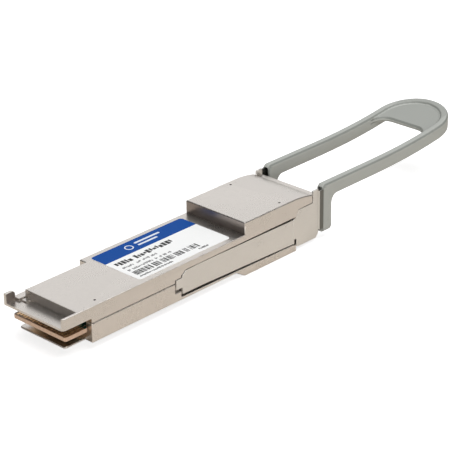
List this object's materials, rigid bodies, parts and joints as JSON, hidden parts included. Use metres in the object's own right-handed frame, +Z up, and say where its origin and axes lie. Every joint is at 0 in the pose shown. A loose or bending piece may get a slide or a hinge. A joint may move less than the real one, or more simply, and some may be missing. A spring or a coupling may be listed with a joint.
{
  "type": "optical transceiver module",
  "caption": "Flat pluggable metal module with a card edge at the nose, duplex fibre ports in a taller head, and a soft looped pull tab that slides back to release it.",
  "frame": {"origin": "on the centre line of the flat underside of the lower shell, 31 mm behind the front edge of the nose", "axes": "+X from the card edge towards the fibre ports and pull tab, +Y to the side with the key notch, +Z up through the labelled top"},
  "size_m": [0.1345, 0.019, 0.0168],
  "materials": {
    "cast_shell": "satin nickel plate on a zinc die-casting",
    "stamped_steel": "satin stamped stainless sheet",
    "spring_steel": "drawn spring wire",
    "screw_steel": "dark nickel",
    "circuit_board": "green solder mask over glass laminate",
    "contact_gold": "hard gold plate",
    "chip_package": "moulded epoxy",
    "thermal_gel": "soft gap pad",
    "flex_film": "polyimide film",
    "optic_body": "gold flashed can",
    "port_plastic": "fine moulded texture",
    "ceramic": "polished zirconia",
    "gasket_rubber": "conductive elastomer",
    "label_film": "printed polyester with a blue band",
    "tab_elastomer": "satin thermoplastic elastomer"
  },
  "bodies": {
    "module_body": {"upper_shell": "cast_shell", "lower_shell": "cast_shell", "main_board": "circuit_board", "card_contacts_top": "contact_gold", "card_contacts_bottom": "contact_gold", "microcontroller": "chip_package", "clock_recovery_chip": "chip_package", "laser_driver_chip": "chip_package", "receiver_amplifier_chip": "chip_package", "power_inductor_1": "chip_package", "power_inductor_2": "chip_package", "thermal_pad": "thermal_gel", "receive_flex_circuit": "flex_film", "transmit_flex_circuit": "flex_film", "receive_optical_subassembly": "optic_body", "transmit_optical_subassembly": "optic_body", "receive_ferrule_sleeve": "ceramic", "transmit_ferrule_sleeve": "ceramic", "subassembly_retainer": "stamped_steel", "lc_receptacle": "port_plastic", "seam_gasket_near": "gasket_rubber", "seam_gasket_far": "gasket_rubber", "screw_front_near": "screw_steel", "screw_front_far": "screw_steel", "screw_rear_near": "screw_steel", "screw_rear_far": "screw_steel", "release_spring_near": "spring_steel", "release_spring_far": "spring_steel", "label": "label_film"},
    "release_pull": {"release_slider": "stamped_steel", "pull_tab": "tab_elastomer"}
  },
  "joints": [
    {"name": "release_slide", "type": "slide", "parent": "module_body", "child": "release_pull", "axis": [1, 0, 0], "range_m": [0, 0.0025], "stiffness_N_per_m": 700, "springref_m": -0.003, "deforming": ["release_spring_near", "release_spring_far"]}
  ]
}
